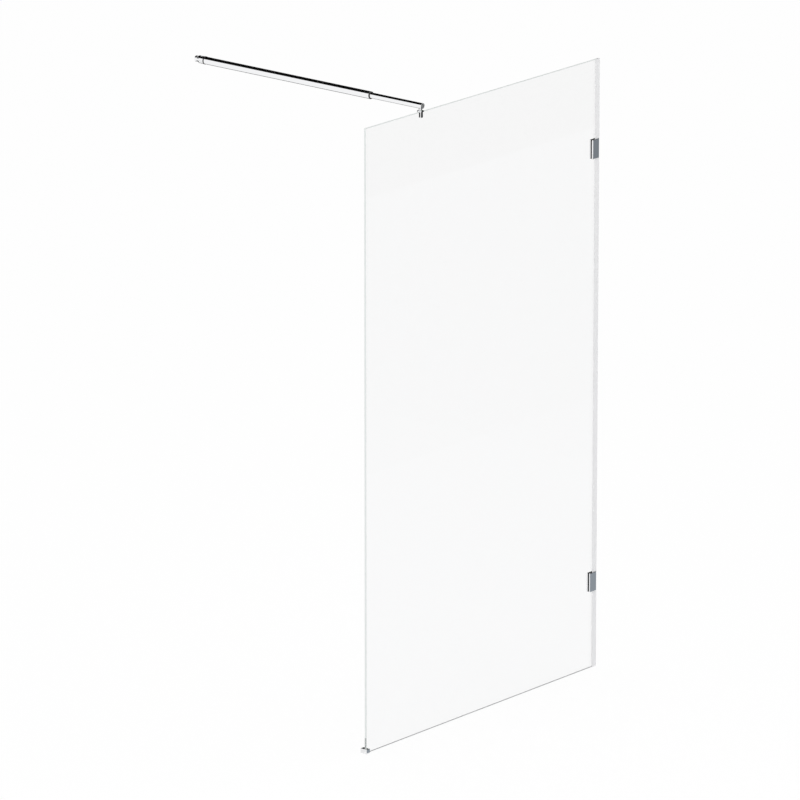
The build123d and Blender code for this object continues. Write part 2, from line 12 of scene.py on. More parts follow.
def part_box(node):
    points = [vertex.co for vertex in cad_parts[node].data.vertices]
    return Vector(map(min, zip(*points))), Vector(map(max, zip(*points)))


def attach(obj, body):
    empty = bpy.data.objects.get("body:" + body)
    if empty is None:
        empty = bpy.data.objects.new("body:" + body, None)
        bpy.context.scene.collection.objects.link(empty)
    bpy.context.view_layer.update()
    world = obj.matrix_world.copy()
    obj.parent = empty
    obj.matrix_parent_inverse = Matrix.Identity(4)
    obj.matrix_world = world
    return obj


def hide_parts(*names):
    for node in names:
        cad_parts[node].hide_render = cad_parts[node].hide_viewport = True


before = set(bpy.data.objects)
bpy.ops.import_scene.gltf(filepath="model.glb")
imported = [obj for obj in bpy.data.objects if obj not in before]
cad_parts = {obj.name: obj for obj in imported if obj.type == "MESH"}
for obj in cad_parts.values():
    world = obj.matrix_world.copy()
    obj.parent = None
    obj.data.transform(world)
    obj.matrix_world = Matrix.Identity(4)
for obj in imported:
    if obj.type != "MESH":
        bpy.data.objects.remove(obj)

logging.basicConfig(level=logging.INFO, format="%(message)s")
log = logging.getLogger("shower_screen")

Node = bpy.types.Node
Piece = bpy.types.Object
Socket = bpy.types.NodeSocket
Tree = bpy.types.NodeTree
Colour = tuple[float, float, float]
Place = tuple[float, float, float]
Span = tuple[float, float]
Outline = list[tuple[float, float]]

MM = 0.001
WHITE = (1.0, 1.0, 1.0, 1.0)
FULL: Span = (0.0, 1.0)
FALLING: Span = (1.0, 0.0)
SHARP_ANGLE = math.radians(32.0)
LARGE_FACE_WEIGHT = 100
SAME_POINT = 1e-7
SAME_RING_POINT = 1e-8
NO_LENGTH = 1e-9
RIM_STEPS = 2


class Effect(Enum):
    """The shader node groups that several finishes share."""

    DRIED_WATER = "dried_water"
    FINE_SCRATCHES = "fine_scratches"
    MOULDED_GRAIN = "moulded_grain"
    RUBBED_EDGES = "rubbed_edges"


class Axis(Enum):
    """The direction that a turned piece is turned about, as its unit vector."""

    Y = (0.0, 1.0, 0.0)
    Z = (0.0, 0.0, 1.0)


class Wiring:
    """Adds nodes to one node tree and joins them."""

    MIX_COLOURS = (6, 7)
    MIX_RESULT = 2

    def __init__(self, tree: Tree) -> None:
        """Keeps the tree that the nodes go into.

        Args:
            tree: the node tree of a material, a world or a group.
        """
        self.tree = tree

    def add(self, kind: str, inputs: dict | None = None, **settings: object) -> Node:
        """Adds one node.

        Args:
            kind: the node's type name in Blender.
            inputs: socket name or number to a plain value, or to the output socket that feeds it.
            settings: properties of the node itself.

        Returns:
            The new node.
        """
        node = self.tree.nodes.new(kind)
        for name, value in settings.items():
            setattr(node, name, value)
        for name, value in (inputs or {}).items():
            if isinstance(value, Socket):
                self.tree.links.new(value, node.inputs[name])
            else:
                node.inputs[name].default_value = value
        return node

    def join(self, output: Socket, node: Node, name: str) -> None:
        """Feeds an output into a named input of a node."""
        self.tree.links.new(output, node.inputs[name])

    def math(self, operation: str, *values: object) -> Socket:
        """Adds a Math node and returns its output."""
        return self.add("ShaderNodeMath", dict(enumerate(values)), operation=operation).outputs[0]

    def remap(self, value: object, span: Span, to: Span) -> Socket:
        """Maps a value from one range to another, smoothly and clamped.

        Args:
            value: the socket to map.
            span: the range that it is read in.
            to: the range that it is given out in.

        Returns:
            The mapped value's socket.
        """
        node = self.add(
            "ShaderNodeMapRange",
            {"Value": value, "From Min": span[0], "From Max": span[1], "To Min": to[0], "To Max": to[1]},
            interpolation_type="SMOOTHSTEP",
        )
        return node.outputs["Result"]

    def noise(self, place: object, scale: object, detail: float = 2.0) -> Socket:
        """Adds a noise texture and returns its value."""
        node = self.add("ShaderNodeTexNoise", {"Vector": place, "Scale": scale, "Detail": detail})
        return node.outputs[0]

    def blend(self, mask: object, first: object, second: object) -> Socket:
        """Mixes two colours by a mask.

        Args:
            mask: the share of the second colour.
            first: a colour, or the socket that gives it.
            second: the same for the second colour.

        Returns:
            The mixed colour's socket.
        """
        node = self.add("ShaderNodeMix", {"Factor": mask}, data_type="RGBA")
        for index, value in zip(self.MIX_COLOURS, (first, second)):
            if isinstance(value, Socket):
                self.tree.links.new(value, node.inputs[index])
            else:
                node.inputs[index].default_value = (*value, 1.0)
        return node.outputs[self.MIX_RESULT]

    def object_place(self) -> Socket:
        """Returns the point being shaded, in metres in the part's frame."""
        return self.add("ShaderNodeTexCoord").outputs["Object"]


class Effects:
    """Builds each shared shader group once, and places it in materials."""

    def __init__(self) -> None:
        """Starts with no group built."""
        self.groups: dict[Effect, Tree] = {}

    def place(self, effect: Effect, wiring: Wiring, values: dict[str, float]) -> Node:
        """Puts a shared effect into a material.

        Args:
            effect: which effect.
            wiring: the material's wiring.
            values: the group's input values in this material.

        Returns:
            The group node.
        """
        if effect not in self.groups:
            self.groups[effect] = getattr(self, f"_build_{effect.value}")()
        node = wiring.add("ShaderNodeGroup", node_tree=self.groups[effect])
        for name, value in values.items():
            node.inputs[name].default_value = value
        return node

    @staticmethod
    def _group(
        name: str, inputs: dict[str, float], outputs: list[str]
    ) -> tuple[Wiring, Node, Node]:
        """Makes an empty shader group.

        Args:
            name: the group's name.
            inputs: each input's name and usual value.
            outputs: the names of the value outputs.

        Returns:
            The group's wiring, its input node and its output node.
        """
        tree = bpy.data.node_groups.new(name, "ShaderNodeTree")
        for label, usual in inputs.items():
            socket = tree.interface.new_socket(label, in_out="INPUT", socket_type="NodeSocketFloat")
            socket.default_value = usual
        for label in outputs:
            tree.interface.new_socket(label, in_out="OUTPUT", socket_type="NodeSocketFloat")
        wiring = Wiring(tree)
        return wiring, wiring.add("NodeGroupInput"), wiring.add("NodeGroupOutput")

    def _build_dried_water(self) -> Tree:
        """Rings and specks that dried water drops leave; gives a mask.

        Returns:
            The group's node tree.
        """
        sway_reach, sway_detail = 0.006, 2.0
        ring_inside, ring_outside = (0.16, 0.22), (0.24, 0.34)
        film_span, film_fading = (0.10, 0.26), (0.25, 0.0)
        patch_scale, patch_span = 7.0, (0.42, 0.62)
        usual = {"Scale": 90.0, "Share": 0.4, "Amount": 1.0}
        wiring, given, out = self._group("dried_water", usual, ["Marks"])
        place, scale = wiring.object_place(), given.outputs["Scale"]
        sway = wiring.add("ShaderNodeTexNoise", {"Vector": place, "Scale": scale, "Detail": sway_detail})
        reach = {0: sway.outputs["Color"], "Scale": sway_reach}
        offset = wiring.add("ShaderNodeVectorMath", reach, operation="SCALE").outputs[0]
        bent = wiring.add("ShaderNodeVectorMath", {0: place, 1: offset}, operation="ADD").outputs[0]
        drops = wiring.add("ShaderNodeTexVoronoi", {"Vector": bent, "Scale": scale})
        inner = wiring.remap(drops.outputs["Distance"], ring_inside, FULL)
        outer = wiring.remap(drops.outputs["Distance"], ring_outside, FALLING)
        ring = wiring.math("MULTIPLY", inner, outer)
        film = wiring.remap(drops.outputs["Distance"], film_span, film_fading)
        drop = wiring.math("ADD", ring, film)
        chosen = wiring.add("ShaderNodeSeparateColor", {"Color": drops.outputs["Color"]}).outputs[0]
        kept = wiring.math("LESS_THAN", chosen, given.outputs["Share"])
        patch = wiring.remap(wiring.noise(place, patch_scale), patch_span, FULL)
        marks = wiring.math("MULTIPLY", wiring.math("MULTIPLY", drop, kept), patch)
        wiring.join(wiring.math("MULTIPLY", marks, given.outputs["Amount"]), out, "Marks")
        return wiring.tree

    def _build_fine_scratches(self) -> Tree:
        """Fine lines drawn out along one direction; gives a height and a tone.

        Returns:
            The group's node tree.
        """
        line_detail, line_span = 4.0, (0.35, 0.65)
        broad_share, broad_detail, broad_span = 0.13, 2.0, (0.4, 0.6)
        usual = {"Across X": 1.0, "Across Y": 1.0, "Across Z": 1.0, "Scale": 900.0}
        wiring, given, out = self._group("fine_scratches", usual, ["Height", "Tone"])
        across = {axis: given.outputs[f"Across {axis}"] for axis in "XYZ"}
        stretch = wiring.add("ShaderNodeCombineXYZ", across).outputs[0]
        drawn = wiring.add(
            "ShaderNodeVectorMath", {0: wiring.object_place(), 1: stretch}, operation="MULTIPLY"
        ).outputs[0]
        lines = wiring.noise(drawn, given.outputs["Scale"], line_detail)
        broad_scale = wiring.math("MULTIPLY", given.outputs["Scale"], broad_share)
        broad = wiring.noise(drawn, broad_scale, broad_detail)
        wiring.join(wiring.remap(lines, line_span, FULL), out, "Height")
        wiring.join(wiring.math("MULTIPLY", wiring.remap(broad, broad_span, FULL), lines), out, "Tone")
        return wiring.tree

    def _build_moulded_grain(self) -> Tree:
        """The faint grain and flow tone of moulded or extruded plastic; gives a height and a tone.

        Returns:
            The group's node tree.
        """
        grain_detail, flow_share, flow_detail, flow_span = 5.0, 0.04, 3.0, (0.35, 0.65)
        wiring, given, out = self._group("moulded_grain", {"Scale": 1500.0}, ["Height", "Tone"])
        place = wiring.object_place()
        grain = wiring.noise(place, given.outputs["Scale"], grain_detail)
        flow = wiring.noise(place, wiring.math("MULTIPLY", given.outputs["Scale"], flow_share), flow_detail)
        wiring.join(grain, out, "Height")
        wiring.join(wiring.remap(flow, flow_span, FULL), out, "Tone")
        return wiring.tree

    def _build_rubbed_edges(self) -> Tree:
        """The edges that hands and cloths rub; gives a mask.

        Returns:
            The group's node tree.
        """
        bevel_samples, edge_span = 4, (0.80, 0.98)
        patch_scale, patch_detail, patch_span, patch_share = 420.0, 3.0, (0.35, 0.6), (0.2, 1.0)
        wiring, given, out = self._group("rubbed_edges", {"Reach": 0.0006, "Amount": 1.0}, ["Wear"])
        soft = wiring.add("ShaderNodeBevel", {"Radius": given.outputs["Reach"]}, samples=bevel_samples)
        true = wiring.add("ShaderNodeNewGeometry").outputs["Normal"]
        match = wiring.add("ShaderNodeVectorMath", {0: soft.outputs[0], 1: true}, operation="DOT_PRODUCT")
        edge = wiring.remap(match.outputs["Value"], edge_span, FALLING)
        patch = wiring.noise(wiring.object_place(), patch_scale, patch_detail)
        uneven = wiring.remap(patch, patch_span, patch_share)
        worn = wiring.math("MULTIPLY", edge, uneven)
        wiring.join(wiring.math("MULTIPLY", worn, given.outputs["Amount"]), out, "Wear")
        return wiring.tree


def blank_material(name: str) -> tuple[bpy.types.Material, Wiring]:
    """Makes a material with no nodes in it.

    Args:
        name: the material's name.

    Returns:
        The material, and the wiring of its tree.
    """
    made = bpy.data.materials.new(name)
    made.use_nodes = True
    made.node_tree.nodes.clear()
    return made, Wiring(made.node_tree)


@dataclass(frozen=True)
class Finish:
    """What every finish has: the record's slot, a colour and how rough it is."""

    slot: str
    colour: Colour
    roughness: float

    def material(self, effects: Effects) -> bpy.types.Material:
        """Builds the material.

        Args:
            effects: the shared effects.

        Returns:
            The finished material.
        """
        made, wiring = blank_material(f"finish_{self.slot}")
        made.diffuse_color = (*self.colour, 1.0)
        shader = wiring.add(
            "ShaderNodeBsdfPrincipled", {"Base Color": (*self.colour, 1.0), "Roughness": self.roughness}
        )
        wiring.add("ShaderNodeOutputMaterial", {"Surface": shader.outputs[0]})
        self.paint(wiring, shader, effects)
        return made

    def paint(self, wiring: Wiring, shader: Node, effects: Effects) -> None:
        """Adds the finish's own detail to its shader; each kind of finish says how.

        Args:
            wiring: the material's wiring.
            shader: its shader.
            effects: the shared effects.
        """
        raise NotImplementedError

    @staticmethod
    def bump(
        wiring: Wiring, shader: Node, height: Socket, strength: float, depth: float
    ) -> None:
        """Lets a height raise the surface.

        Args:
            wiring: the material's wiring.
            shader: the shader whose normal it bends.
            height: the height from 0 to 1.
            strength: how much of it shows.
            depth: the height of 1 in metres.
        """
        relief = wiring.add("ShaderNodeBump", {"Height": height, "Strength": strength, "Distance": depth})
        wiring.join(relief.outputs["Normal"], shader, "Normal")


@dataclass(frozen=True)
class ChromePlate(Finish):
    """Bright plating, with wiping marks, dried water and rubbed edges."""

    rubbed_colour: Colour = (0.80, 0.79, 0.77)
    marked_roughness: float = 0.16
    wiped_roughness: float = 0.02
    wipe_strength: float = 0.04
    wipe_depth: float = 0.00002

    def paint(self, wiring: Wiring, shader: Node, effects: Effects) -> None:
        """Adds wiping marks, dried water and rubbed edges to the plating.

        Args:
            wiring: the material's wiring.
            shader: its shader.
            effects: the shared effects.
        """
        shader.inputs["Metallic"].default_value = 1.0
        wipes = effects.place(Effect.FINE_SCRATCHES, wiring, {"Across Y": 0.2, "Scale": 700.0})
        water = effects.place(Effect.DRIED_WATER, wiring, {"Scale": 160.0, "Share": 0.16, "Amount": 0.35})
        edges = effects.place(Effect.RUBBED_EDGES, wiring, {"Reach": 0.0004, "Amount": 0.5})
        spoilt = wiring.math("MAXIMUM", water.outputs["Marks"], edges.outputs["Wear"])
        wiped = wiring.math("MULTIPLY_ADD", wipes.outputs["Tone"], self.wiped_roughness, self.roughness)
        rough = wiring.add(
            "ShaderNodeMix", {"Factor": spoilt, "A": wiped, "B": self.marked_roughness}, data_type="FLOAT"
        )
        wiring.join(rough.outputs[0], shader, "Roughness")
        colour = wiring.blend(edges.outputs["Wear"], self.colour, self.rubbed_colour)
        wiring.join(colour, shader, "Base Color")
        self.bump(wiring, shader, wipes.outputs["Height"], self.wipe_strength, self.wipe_depth)


@dataclass(frozen=True)
class SteelFinish(Finish):
    """Plain steel or satin metal, with tool marks along one direction."""

    marks_scale: float = 1600.0
    across: Place = (1.0, 0.12, 1.0)
    marked_roughness: float = 0.42
    marks_strength: float = 0.25
    marks_depth: float = 0.00004
    dull_colour: Colour = (0.42, 0.42, 0.42)
    rubbed_gain: float = 1.25

    def paint(self, wiring: Wiring, shader: Node, effects: Effects) -> None:
        """Adds tool marks, an uneven darker tone and lighter rubbed edges to the metal.

        Args:
            wiring: the material's wiring.
            shader: its shader.
            effects: the shared effects.
        """
        shader.inputs["Metallic"].default_value = 1.0
        values = {f"Across {axis}": amount for axis, amount in zip("XYZ", self.across)}
        marks = effects.place(Effect.FINE_SCRATCHES, wiring, {**values, "Scale": self.marks_scale})
        edges = effects.place(Effect.RUBBED_EDGES, wiring, {"Reach": 0.0003, "Amount": 0.8})
        rough = wiring.remap(marks.outputs["Height"], FULL, (self.roughness, self.marked_roughness))
        wiring.join(rough, shader, "Roughness")
        toned = wiring.blend(marks.outputs["Tone"], self.colour, self.dull_colour)
        lighter = tuple(min(1.0, self.rubbed_gain * part) for part in self.colour)
        colour = wiring.blend(edges.outputs["Wear"], toned, lighter)
        wiring.join(colour, shader, "Base Color")
        self.bump(wiring, shader, marks.outputs["Height"], self.marks_strength, self.marks_depth)


@dataclass(frozen=True)
class PanelGlass(Finish):
    """Clear toughened glass with faint dried water on its faces."""

    refraction: float = 1.5
    marked_colour: Colour = (0.96, 0.965, 0.97)
    marked_roughness: float = 0.05

    def paint(self, wiring: Wiring, shader: Node, effects: Effects) -> None:
        """Adds faint dried water to the glass.

        Args:
            wiring: the material's wiring.
            shader: its shader.
            effects: the shared effects.
        """
        shader.inputs["IOR"].default_value = self.refraction
        shader.inputs["Transmission Weight"].default_value = 1.0
        water = effects.place(Effect.DRIED_WATER, wiring, {"Scale": 55.0, "Share": 0.3, "Amount": 0.35})
        marked = wiring.blend(water.outputs["Marks"], self.colour, self.marked_colour)
        wiring.join(marked, shader, "Base Color")
        rough = wiring.remap(water.outputs["Marks"], FULL, (self.roughness, self.marked_roughness))
        wiring.join(rough, shader, "Roughness")


@dataclass(frozen=True)
class GroundEdge(Finish):
    """The ground and lightly polished edge of the glass, pale with a breath of green, with a painted shade
    along its bottom edge.
    """

    deep_colour: Colour = (0.70, 0.76, 0.74)
    # Painted shade along the bottom edge: its colour, and the heights over which it fades out upwards.
    painted_shade_colour: Colour = (0.30, 0.31, 0.31)
    painted_shade_span: Span = (3.8 * MM, 5.0 * MM)
    deep_share: float = 0.35
    roughness_spread: float = 0.2
    line_strength: float = 0.3
    line_depth: float = 0.00003

    def paint(self, wiring: Wiring, shader: Node, effects: Effects) -> None:
        """Adds grinding lines, an uneven depth of tone, and a painted shade along the bottom edge, darker
        towards the bottom, that stands in for the shade where the glass meets the floor.

        Args:
            wiring: the material's wiring.
            shader: its shader.
            effects: the shared effects.
        """
        drawn = {"Across X": 0.03, "Across Z": 0.03, "Scale": 2600.0}
        lines = effects.place(Effect.FINE_SCRATCHES, wiring, drawn)
        grain = effects.place(Effect.MOULDED_GRAIN, wiring, {"Scale": 900.0})
        mask = wiring.math("MULTIPLY", grain.outputs["Tone"], self.deep_share)
        toned = wiring.blend(mask, self.colour, self.deep_colour)
        height = wiring.add("ShaderNodeSeparateXYZ", {0: wiring.object_place()}).outputs["Z"]
        # Painted shade: the edge darkens towards the bottom, standing in for the shade where the glass meets
        # the floor.
        under = wiring.remap(height, self.painted_shade_span, FALLING)
        wiring.join(wiring.blend(under, toned, self.painted_shade_colour), shader, "Base Color")
        spread = (self.roughness, self.roughness + self.roughness_spread)
        rough = wiring.remap(lines.outputs["Height"], FULL, spread)
        wiring.join(rough, shader, "Roughness")
        self.bump(wiring, shader, lines.outputs["Height"], self.line_strength, self.line_depth)


@dataclass(frozen=True)
class Vinyl(Finish):
    """Extruded vinyl, clear or frosted, with faint draw lines along its length."""

    clearness: float = 0.3
    refraction: float = 1.53
    dusty_colour: Colour = (0.72, 0.72, 0.71)
    dusty_share: float = 0.45
    roughness_spread: float = 0.12
    line_strength: float = 0.15
    line_depth: float = 0.00005

    def paint(self, wiring: Wiring, shader: Node, effects: Effects) -> None:
        """Adds draw lines and an uneven, slightly dusty tone.

        Args:
            wiring: the material's wiring.
            shader: its shader.
            effects: the shared effects.
        """
        shader.inputs["IOR"].default_value = self.refraction
        shader.inputs["Transmission Weight"].default_value = self.clearness
        lines = effects.place(Effect.FINE_SCRATCHES, wiring, {"Across Z": 0.02, "Scale": 1100.0})
        grain = effects.place(Effect.MOULDED_GRAIN, wiring, {"Scale": 1200.0})
        mask = wiring.math("MULTIPLY", grain.outputs["Tone"], self.dusty_share)
        colour = wiring.blend(mask, self.colour, self.dusty_colour)
        wiring.join(colour, shader, "Base Color")
        spread = (self.roughness, self.roughness + self.roughness_spread)
        rough = wiring.remap(grain.outputs["Tone"], FULL, spread)
        wiring.join(rough, shader, "Roughness")
        self.bump(wiring, shader, lines.outputs["Height"], self.line_strength, self.line_depth)


@dataclass(frozen=True)
class Moulding(Finish):
    """Opaque moulded rubber or nylon with a fine grain."""

    grain_scale: float = 2200.0
    grain_span: Span = (0.3, 0.7)
    grain_strength: float = 0.5
    grain_depth: float = 0.00006
    tone_share: float = 0.3
    roughness_spread: float = 0.08
    worn_colour: Colour = (0.06, 0.06, 0.06)
    glow: float = 0.0
    glow_depth: float = 0.001

    def paint(self, wiring: Wiring, shader: Node, effects: Effects) -> None:
        """Adds the moulded grain, an uneven tone and paler rubbed edges.

        Args:
            wiring: the material's wiring.
            shader: its shader.
            effects: the shared effects.
        """
        shader.inputs["Subsurface Weight"].default_value = self.glow
        shader.inputs["Subsurface Scale"].default_value = self.glow_depth
        grain = effects.place(Effect.MOULDED_GRAIN, wiring, {"Scale": self.grain_scale})
        edges = effects.place(Effect.RUBBED_EDGES, wiring, {"Reach": 0.0003, "Amount": 0.6})
        toned = wiring.math("MULTIPLY", grain.outputs["Tone"], self.tone_share)
        mask = wiring.math("MAXIMUM", edges.outputs["Wear"], toned)
        wiring.join(wiring.blend(mask, self.colour, self.worn_colour), shader, "Base Color")
        spread = (self.roughness - self.roughness_spread, self.roughness + self.roughness_spread)
        rough = wiring.remap(grain.outputs["Height"], self.grain_span, spread)
        wiring.join(rough, shader, "Roughness")
        self.bump(wiring, shader, grain.outputs["Height"], self.grain_strength, self.grain_depth)


class Workshop:
    """Holds the finishes, and dresses pieces with them."""

    def __init__(self) -> None:
        """Builds every finish of the screen once."""
        effects = Effects()
        finishes: list[Finish] = [
            ChromePlate("chrome", (0.90, 0.905, 0.915), 0.015),
            SteelFinish("screw_steel", (0.58, 0.58, 0.58), 0.10, marked_roughness=0.22),
            SteelFinish(
                "end_plug_metal", (0.60, 0.60, 0.60), 0.30, marks_scale=1100.0, across=(1.0, 1.0, 1.0)
            ),
            PanelGlass("clear_glass", (1.0, 1.0, 1.0), 0.0),
            GroundEdge("ground_edge", (0.80, 0.83, 0.82), 0.35),
            Vinyl("frosted_vinyl", (0.94, 0.94, 0.95), 0.34, clearness=0.08, dusty_colour=(0.90, 0.90, 0.91)),
            Vinyl("clear_vinyl", (0.82, 0.84, 0.84), 0.14, clearness=0.7, dusty_colour=(0.72, 0.74, 0.74)),
            Moulding("black_rubber", (0.010, 0.010, 0.010), 0.62, worn_colour=(0.03, 0.03, 0.03)),
            Moulding("black_nylon", (0.012, 0.012, 0.012), 0.34, worn_colour=(0.05, 0.05, 0.05)),
            Moulding("white_nylon", (0.85, 0.85, 0.83), 0.45, worn_colour=(0.76, 0.75, 0.72), glow=0.2),
        ]
        self.materials = {finish.slot: finish.material(effects) for finish in finishes}

    def dress_node(self, node: str, slot: str) -> None:
        """Gives a CAD node its finish.

        Args:
            node: the node's name.
            slot: the material slot whose finish it takes.
        """
        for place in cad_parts[node].material_slots:
            place.material = self.materials[slot]
        log.info("%s keeps its CAD shape, finish %s", node, slot)

    def dress_piece(self, piece: Piece, slot: str, body: str, *nodes: str) -> None:
        """Gives a new piece its finish and body, and lets it stand for CAD nodes.

        Args:
            piece: the new piece.
            slot: the material slot whose finish it takes.
            body: the CAD body it moves with.
            nodes: the CAD nodes it stands for.
        """
        piece.data.materials.clear()
        piece.data.materials.append(self.materials[slot])
        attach(piece, body)
        if nodes:
            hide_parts(*nodes)
        log.info("%s built with %d faces, finish %s", piece.name, len(piece.data.polygons), slot)


def rounded(corners: Outline, radius: float, steps: int = 5) -> Outline:
    """Rounds every corner of a closed outline.

    Args:
        corners: the outline's corners in order.
        radius: the rounding's radius, less where a side is too short for it.
        steps: how many straight pieces each arc has.

    Returns:
        The rounded outline.
    """
    side_share = 0.45
    points: Outline = []
    for index, corner in enumerate(corners):
        here = Vector(corner)
        before = Vector(corners[index - 1]) - here
        after = Vector(corners[(index + 1) % len(corners)]) - here
        half = before.angle(after) / 2
        cut = min(radius / math.tan(half), side_share * before.length, side_share * after.length)
        middle = here + (before.normalized() + after.normalized()).normalized() * cut / math.cos(half)
        start = here + before.normalized() * cut - middle
        end = here + after.normalized() * cut - middle
        turn = start.angle_signed(end)
        for step in range(steps + 1):
            points.append(tuple(middle + Matrix.Rotation(-turn * step / steps, 2) @ start))
    return points


def put_in_scene(name: str, data: bpy.types.ID) -> Piece:
    """Makes an object that holds some data, and links it to the scene.

    Args:
        name: the object's name.
        data: its mesh, curve, lamp or camera.

    Returns:
        The new object.
    """
    made = bpy.data.objects.new(name, data)
    bpy.context.scene.collection.objects.link(made)
    return made


def smooth(data: bpy.types.Mesh) -> None:
    """Shades a mesh smooth, except at its sharp edges."""
    data.polygons.foreach_set("use_smooth", [True] * len(data.polygons))
    data.set_sharp_from_angle(angle=SHARP_ANGLE)


def finish_mesh(name: str, mesh: bmesh.types.BMesh) -> Piece:
    """Turns a bmesh into an object in the scene, smooth except at its sharp edges.

    Args:
        name: the piece's name.
        mesh: the bmesh, which is freed.

    Returns:
        The new object.
    """
    bmesh.ops.remove_doubles(mesh, verts=mesh.verts, dist=SAME_POINT)
    bmesh.ops.recalc_face_normals(mesh, faces=mesh.faces)
    data = bpy.data.meshes.new(name)
    mesh.to_mesh(data)
    mesh.free()
    smooth(data)
    piece = put_in_scene(name, data)
    even_normals(piece)
    return piece


def even_normals(piece: Piece) -> None:
    """Lets the large faces set the shading, so that narrow roundings don't bend it.

    Args:
        piece: the piece that gets the modifier for it.
    """
    shading = piece.modifiers.new("even_normals", "WEIGHTED_NORMAL")
    shading.weight = LARGE_FACE_WEIGHT
    shading.keep_sharp = True


def turned(name: str, profile: Outline, centre: Vector, axis: Axis, steps: int = 96) -> Piece:
    """Turns a closed profile about an axis.

    Args:
        name: the piece's name.
        profile: points of (distance from the axis, place along the axis).
        centre: a point on the axis where the place along it is 0.
        axis: the axis.
        steps: how many facets go round.

    Returns:
        The turned piece.
    """
    along = Vector(axis.value)
    side = along.orthogonal().normalized()
    mesh = bmesh.new()
    rings = []
    for radius, height in profile:
        ring = []
        for step in range(steps):
            out = Matrix.Rotation(2 * math.pi * step / steps, 3, along) @ side
            ring.append(mesh.verts.new(centre + along * height + out * radius))
        rings.append(ring)
    for index, ring in enumerate(rings):
        following = rings[(index + 1) % len(rings)]
        for step in range(steps):
            near = (step + 1) % steps
            mesh.faces.new((ring[step], ring[near], following[near], following[step]))
    bmesh.ops.remove_doubles(mesh, verts=mesh.verts, dist=SAME_RING_POINT)
    bmesh.ops.dissolve_degenerate(mesh, edges=mesh.edges, dist=NO_LENGTH)
    return finish_mesh(name, mesh)


def extruded(
    name: str,
    outline: Outline,
    holes: list[Outline],
    span: Span,
    rim: float = 0.0,
    upright: bool = False,
) -> Piece:
    """Extrudes an outline with holes.

    Args:
        name: the piece's name.
        outline: the outer outline, as (x, y), or as (x, z) where it is upright.
        holes: the outlines of its holes.
        span: where the extrusion starts and ends, along Z, or along Y where it is upright.
        rim: the rounding of its two rims.
        upright: whether the outline stands in the XZ plane.

    Returns:
        The extruded piece.
    """
    low, high = span
    curve = bpy.data.curves.new(name, "CURVE")
    curve.dimensions = "2D"
    curve.fill_mode = "BOTH"
    curve.extrude = (high - low) / 2 - rim
    curve.bevel_depth = rim
    curve.bevel_resolution = RIM_STEPS
    curve.offset = -rim
    for loop in [outline, *holes]:
        spline = curve.splines.new("POLY")
        spline.points.add(len(loop) - 1)
        for point, (x, y) in zip(spline.points, loop):
            point.co = (x, y, 0.0, 1.0)
        spline.use_cyclic_u = True
    drawn = put_in_scene(name, curve)
    bpy.context.view_layer.update()
    made = bpy.data.meshes.new_from_object(drawn.evaluated_get(bpy.context.evaluated_depsgraph_get()))
    bpy.data.objects.remove(drawn)
    bpy.data.curves.remove(curve)
    made.transform(Matrix.Translation((0, 0, (low + high) / 2)))
    if upright:
        swap_y_and_z = Matrix(((1, 0, 0), (0, 0, 1), (0, 1, 0)))
        made.transform(swap_y_and_z.to_4x4())
    mesh = bmesh.new()
    mesh.from_mesh(made)
    bpy.data.meshes.remove(made)
    return finish_mesh(name, mesh)


def cut_away(piece: Piece, cutters: list[Piece]) -> None:
    """Cuts the cutters' shapes out of a piece, and removes the cutters.

    Args:
        piece: the piece to cut.
        cutters: closed shapes.
    """
    for cutter in cutters:
        tool = piece.modifiers.new("cut", "BOOLEAN")
        tool.operation = "DIFFERENCE"
        tool.solver = "EXACT"
        tool.object = cutter
    bpy.context.view_layer.update()
    result = bpy.data.meshes.new_from_object(piece.evaluated_get(bpy.context.evaluated_depsgraph_get()))
    piece.modifiers.clear()
    old = piece.data
    piece.data = result
    bpy.data.meshes.remove(old)
    for cutter in cutters:
        bpy.data.objects.remove(cutter)
    smooth(result)
    even_normals(piece)


def line_along_y(low: Vector, high: Vector) -> Vector:
    """Returns the point at y = 0 on the line along Y through a box's middle."""
    return Vector(((low.x + high.x) / 2, 0, (low.z + high.z) / 2))


def half_width(low: Vector, high: Vector) -> float:
    """Returns half of a box's width along X, which is the radius of a piece turned about Y."""
    return (high.x - low.x) / 2


def middle_y(low: Vector, high: Vector) -> float:
    """Returns the middle of a box along Y."""
    return (low.y + high.y) / 2


